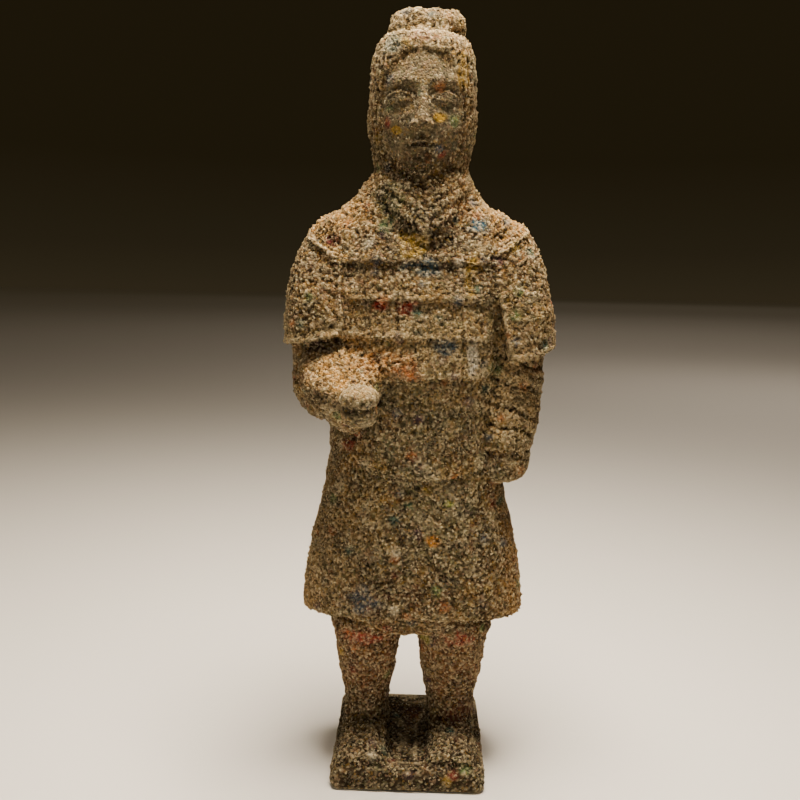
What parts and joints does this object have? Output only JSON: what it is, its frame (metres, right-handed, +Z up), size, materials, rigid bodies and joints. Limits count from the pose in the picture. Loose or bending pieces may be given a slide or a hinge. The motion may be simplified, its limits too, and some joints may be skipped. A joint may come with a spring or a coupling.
{
  "type": "terracotta warrior statue",
  "caption": "Small replica of a standing armoured warrior on a square plinth, cast in sandy, weathered terracotta-coloured stone with faded paint stains.",
  "frame": {"origin": "centre of the plinth's underside", "axes": "+X to the figure's left, which is on the right when facing it; +Y towards its back; +Z up"},
  "size_m": [0.106, 0.0785, 0.3],
  "materials": {
    "cast_terracotta_sand": "matte, coarse sandy crust with pits"
  },
  "bodies": {
    "root": {"warrior_statue": "cast_terracotta_sand"}
  },
  "joints": []
}
